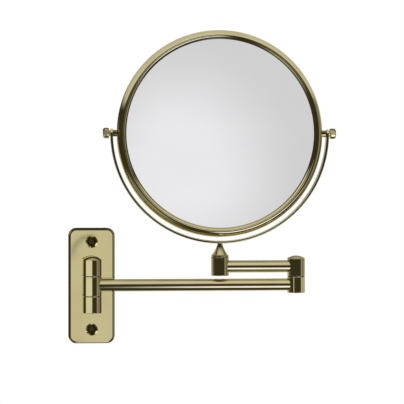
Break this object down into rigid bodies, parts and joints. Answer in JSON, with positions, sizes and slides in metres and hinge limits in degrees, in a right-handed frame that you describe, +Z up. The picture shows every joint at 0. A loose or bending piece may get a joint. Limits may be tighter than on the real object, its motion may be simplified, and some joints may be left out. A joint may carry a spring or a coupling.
{
  "type": "wall magnifying mirror",
  "caption": "Round swivelling magnifying mirror in a U-shaped yoke on a folding double arm, hinged on an upright wall plate with screw holes.",
  "frame": {"origin": "centre of the wall plate's back face, midway between the two wall-screw holes", "axes": "+Z up, the wall is the plane y = 0, the mirror looks along -Y, and the arm rests folded along +X"},
  "size_m": [0.2681, 0.032, 0.3139],
  "materials": {
    "plate_brass": "polished, lightly lacquered",
    "polished_brass": "mirror polished",
    "mirror_glass": "silvered glass",
    "steel": "zinc plated",
    "nylon": "moulded",
    "fibreboard": "plain hardboard"
  },
  "bodies": {
    "wall_mount": {"backplate": "plate_brass", "hinge_bracket": "polished_brass", "bracket_screws": "steel", "hinge_pin": "polished_brass", "hinge_washers": "nylon", "hinge_spring_washer": "steel", "hinge_nut": "steel"},
    "inner_arm": {"inner_arm_knuckle": "polished_brass", "hinge_bush": "nylon", "inner_arm_tube": "polished_brass", "elbow_lower_barrel": "polished_brass"},
    "outer_arm": {"elbow_upper_barrel": "polished_brass", "elbow_pin": "polished_brass", "elbow_washer": "nylon", "elbow_spring_washer": "steel", "elbow_nut": "steel", "outer_arm_tube": "polished_brass", "swivel_barrel": "polished_brass"},
    "yoke_assembly": {"swivel_post": "polished_brass", "swivel_washer": "nylon", "swivel_spring_washer": "steel", "swivel_nut": "steel", "yoke": "polished_brass", "yoke_screw": "steel"},
    "mirror_head": {"mirror_frame": "polished_brass", "front_retaining_ring": "polished_brass", "rear_retaining_ring": "polished_brass", "magnifying_glass": "mirror_glass", "flat_glass": "mirror_glass", "spacer_ring": "nylon", "backing_board": "fibreboard", "left_pivot_boss": "polished_brass", "right_pivot_boss": "polished_brass", "pivot_washers": "nylon"},
    "left_knob": {"left_thumb_screw": "polished_brass"},
    "right_knob": {"right_thumb_screw": "polished_brass"}
  },
  "joints": [
    {"name": "wall_hinge", "type": "hinge", "parent": "wall_mount", "child": "inner_arm", "pos_m": [0, -0.023, 0], "axis": [0, 0, -1], "range_deg": [0, 180]},
    {"name": "elbow_hinge", "type": "hinge", "parent": "inner_arm", "child": "outer_arm", "pos_m": [0.2046, -0.023, 0.009], "axis": [0, 0, 1], "continuous": true},
    {"name": "yoke_swivel", "type": "hinge", "parent": "outer_arm", "child": "yoke_assembly", "pos_m": [0.1276, -0.023, 0.028], "axis": [0, 0, 1], "continuous": true},
    {"name": "mirror_tilt", "type": "hinge", "parent": "yoke_assembly", "child": "mirror_head", "pos_m": [0.1276, -0.023, 0.1524], "axis": [1, 0, 0], "continuous": true},
    {"name": "left_knob_turn", "type": "hinge", "parent": "mirror_head", "child": "left_knob", "pos_m": [0.0156, -0.023, 0.1524], "axis": [-1, 0, 0], "range_deg": [0, 360]},
    {"name": "right_knob_turn", "type": "hinge", "parent": "mirror_head", "child": "right_knob", "pos_m": [0.2396, -0.023, 0.1524], "axis": [1, 0, 0], "range_deg": [0, 360]}
  ]
}
